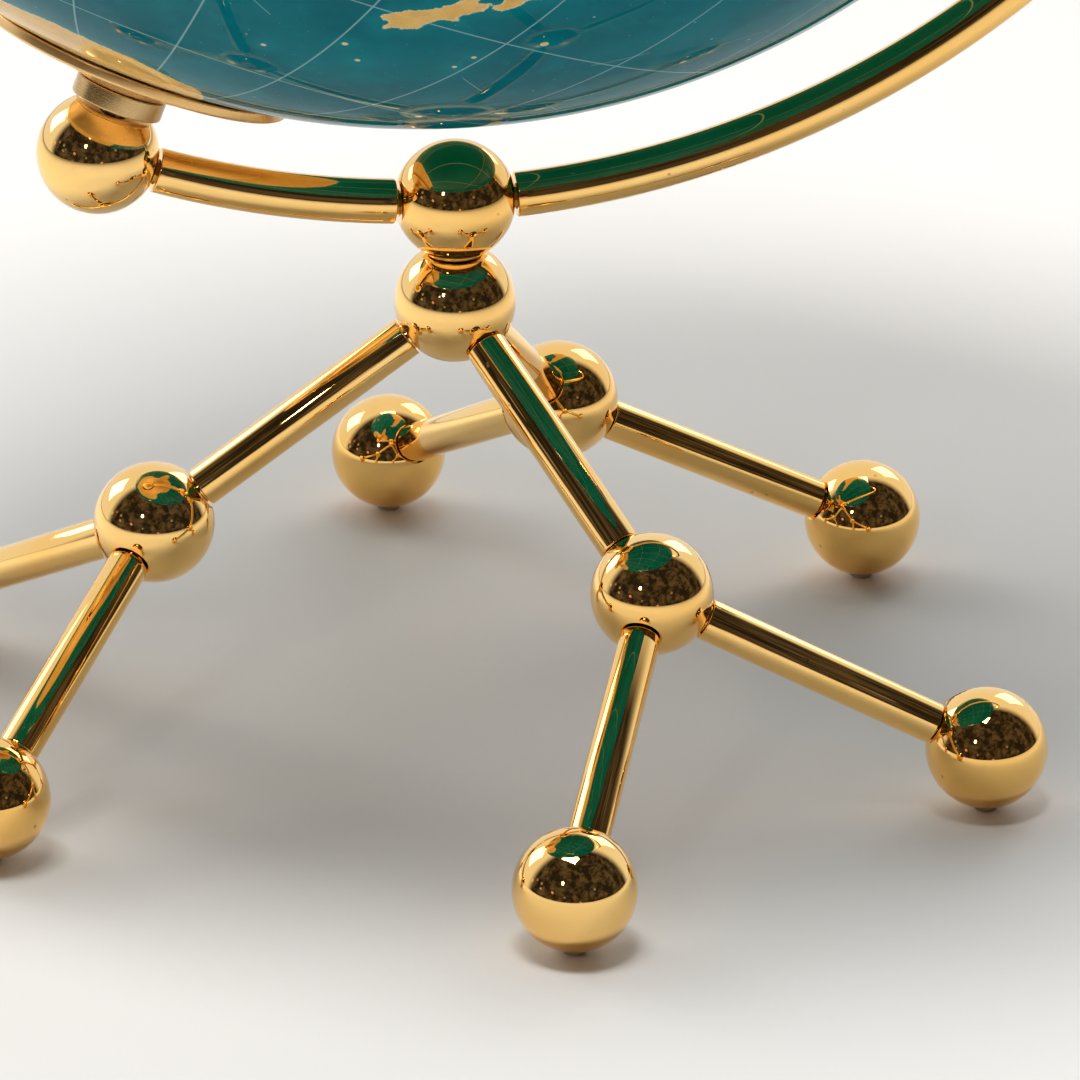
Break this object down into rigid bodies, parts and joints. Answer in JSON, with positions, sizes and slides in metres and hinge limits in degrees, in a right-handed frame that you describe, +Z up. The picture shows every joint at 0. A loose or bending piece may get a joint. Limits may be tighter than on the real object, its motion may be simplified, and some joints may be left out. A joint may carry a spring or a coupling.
{
  "type": "desktop globe on stand",
  "caption": "Desktop globe turning on a tilted polar axis, held by a round-rod meridian arc on a polished gold stand of balls and rods with spreading feet.",
  "frame": {"origin": "on the floor, under the middle of the object's box", "axes": "+Z up; the meridian arc runs from its south end towards -X, under the globe and up on the +X side, and leans 4.8 degrees back towards +Y about the two studs in the upper hub ball; the legs are symmetric about a plane through the hub parallel to XZ"},
  "size_m": [0.3678, 0.324, 0.5042],
  "materials": {
    "polished_gold": "mirror-polished gold plating on brass",
    "champagne_gold": "satin champagne lacquer",
    "stud_steel": "gold-plated machined steel",
    "globe_print": "printed map under a clear mirror-gloss coat, deep teal sea and gold land",
    "white_nylon": "natural nylon",
    "clear_rubber": "translucent soft bumper"
  },
  "bodies": {
    "stand": {"hub_ball_lower": "polished_gold", "hub_stud": "stud_steel", "hub_washer": "stud_steel", "hub_ball_upper": "polished_gold", "upper_rod_left": "polished_gold", "mid_ball_left": "polished_gold", "lower_rod_left_a": "polished_gold", "foot_ball_left_a": "polished_gold", "foot_pad_left_a": "clear_rubber", "lower_rod_left_b": "polished_gold", "foot_ball_left_b": "polished_gold", "foot_pad_left_b": "clear_rubber", "upper_rod_front": "polished_gold", "mid_ball_front": "polished_gold", "lower_rod_front_a": "polished_gold", "foot_ball_front_a": "polished_gold", "foot_pad_front_a": "clear_rubber", "lower_rod_front_b": "polished_gold", "foot_ball_front_b": "polished_gold", "foot_pad_front_b": "clear_rubber", "upper_rod_rear": "polished_gold", "mid_ball_rear": "polished_gold", "lower_rod_rear_a": "polished_gold", "foot_ball_rear_a": "polished_gold", "foot_pad_rear_a": "clear_rubber", "lower_rod_rear_b": "polished_gold", "foot_ball_rear_b": "polished_gold", "foot_pad_rear_b": "clear_rubber", "arc_rod_short": "polished_gold", "arc_rod_long": "polished_gold", "arc_stud_south": "stud_steel", "arc_stud_hub_short": "stud_steel", "arc_stud_hub_long": "stud_steel", "arc_stud_north": "stud_steel", "south_ball": "polished_gold", "south_collar": "champagne_gold", "south_dish": "polished_gold", "south_axle_pin": "stud_steel", "south_thrust_washer": "white_nylon", "north_ball": "polished_gold", "north_collar": "champagne_gold", "north_dish": "polished_gold", "north_axle_pin": "stud_steel", "north_thrust_washer": "white_nylon", "north_spacer": "polished_gold"},
    "globe": {"globe_shell_south": "globe_print", "globe_shell_north": "globe_print", "equator_ring": "white_nylon", "south_bush": "white_nylon", "north_bush": "white_nylon"}
  },
  "joints": [
    {"name": "globe_spin", "type": "hinge", "parent": "stand", "child": "globe", "pos_m": [-0.0215, 0.00005, 0.29822], "axis": [0.373, 0.0776, 0.9246], "continuous": true}
  ]
}
